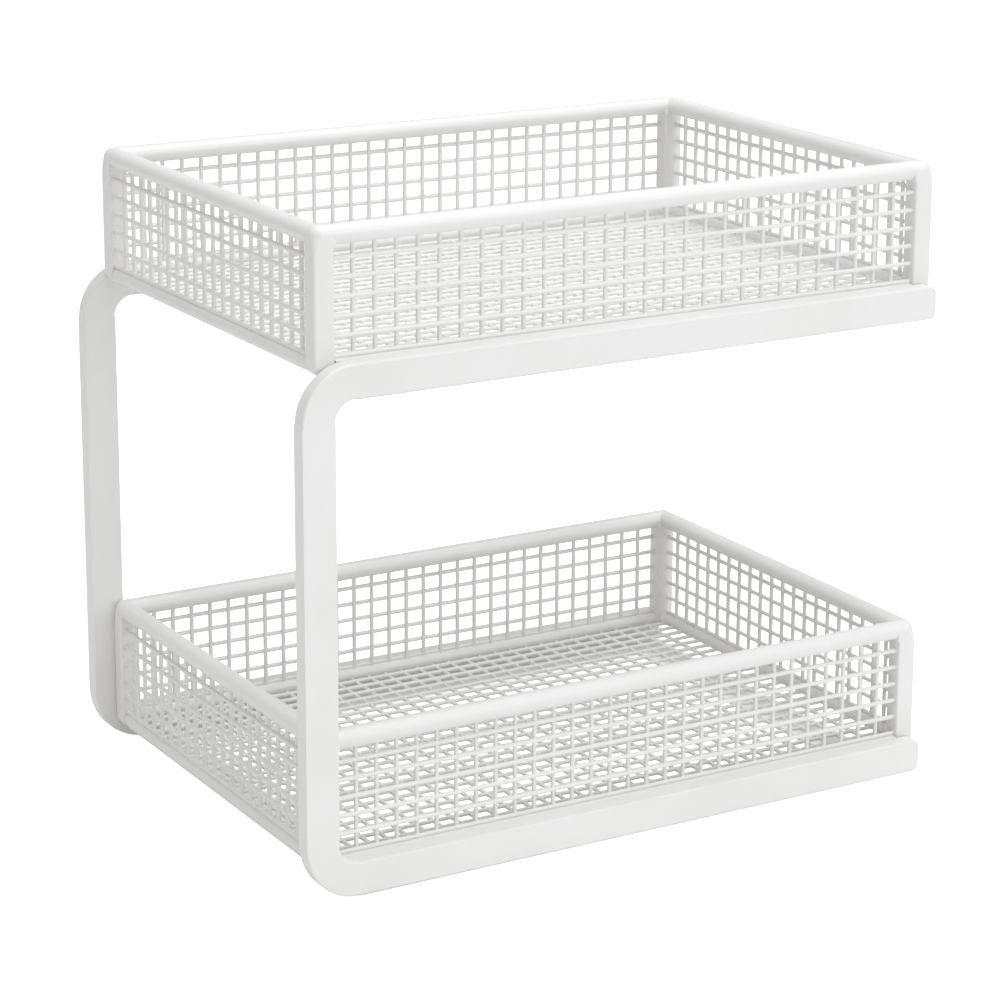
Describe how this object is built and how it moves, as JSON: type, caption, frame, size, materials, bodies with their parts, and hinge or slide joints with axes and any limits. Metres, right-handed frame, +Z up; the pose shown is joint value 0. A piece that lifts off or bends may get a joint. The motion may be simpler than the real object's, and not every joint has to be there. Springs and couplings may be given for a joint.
{
  "type": "two-tier storage rack",
  "caption": "Two-tier rack: two low wire mesh baskets between a pair of C-shaped side frames of bent flat bar, all white powder-coated steel.",
  "frame": {"origin": "on the ground, under the centre of the bounding box", "axes": "+Z up; +X along the rack, from the uprights towards the arms' free ends; -Y is the front, the long side that the picture shows nearest"},
  "size_m": [0.4026, 0.288, 0.3598],
  "materials": {
    "white_powder_coat": "satin white powder coat on steel tube",
    "white_powder_coat_wire": "satin white powder coat on thin steel wire"
  },
  "bodies": {
    "root": {"front_frame": "white_powder_coat", "rear_frame": "white_powder_coat", "lower_rim": "white_powder_coat", "lower_post_front_left": "white_powder_coat", "lower_post_front_right": "white_powder_coat", "lower_post_rear_left": "white_powder_coat", "lower_post_rear_right": "white_powder_coat", "lower_rail_front": "white_powder_coat", "lower_rail_rear": "white_powder_coat", "lower_rail_left": "white_powder_coat", "lower_rail_right": "white_powder_coat", "lower_mesh_front": "white_powder_coat_wire", "lower_mesh_rear": "white_powder_coat_wire", "lower_mesh_left": "white_powder_coat_wire", "lower_mesh_right": "white_powder_coat_wire", "lower_mesh_floor": "white_powder_coat_wire", "upper_rim": "white_powder_coat", "upper_post_front_left": "white_powder_coat", "upper_post_front_right": "white_powder_coat", "upper_post_rear_left": "white_powder_coat", "upper_post_rear_right": "white_powder_coat", "upper_rail_front": "white_powder_coat", "upper_rail_rear": "white_powder_coat", "upper_rail_left": "white_powder_coat", "upper_rail_right": "white_powder_coat", "upper_mesh_front": "white_powder_coat_wire", "upper_mesh_rear": "white_powder_coat_wire", "upper_mesh_left": "white_powder_coat_wire", "upper_mesh_right": "white_powder_coat_wire", "upper_mesh_floor": "white_powder_coat_wire"}
  },
  "joints": []
}
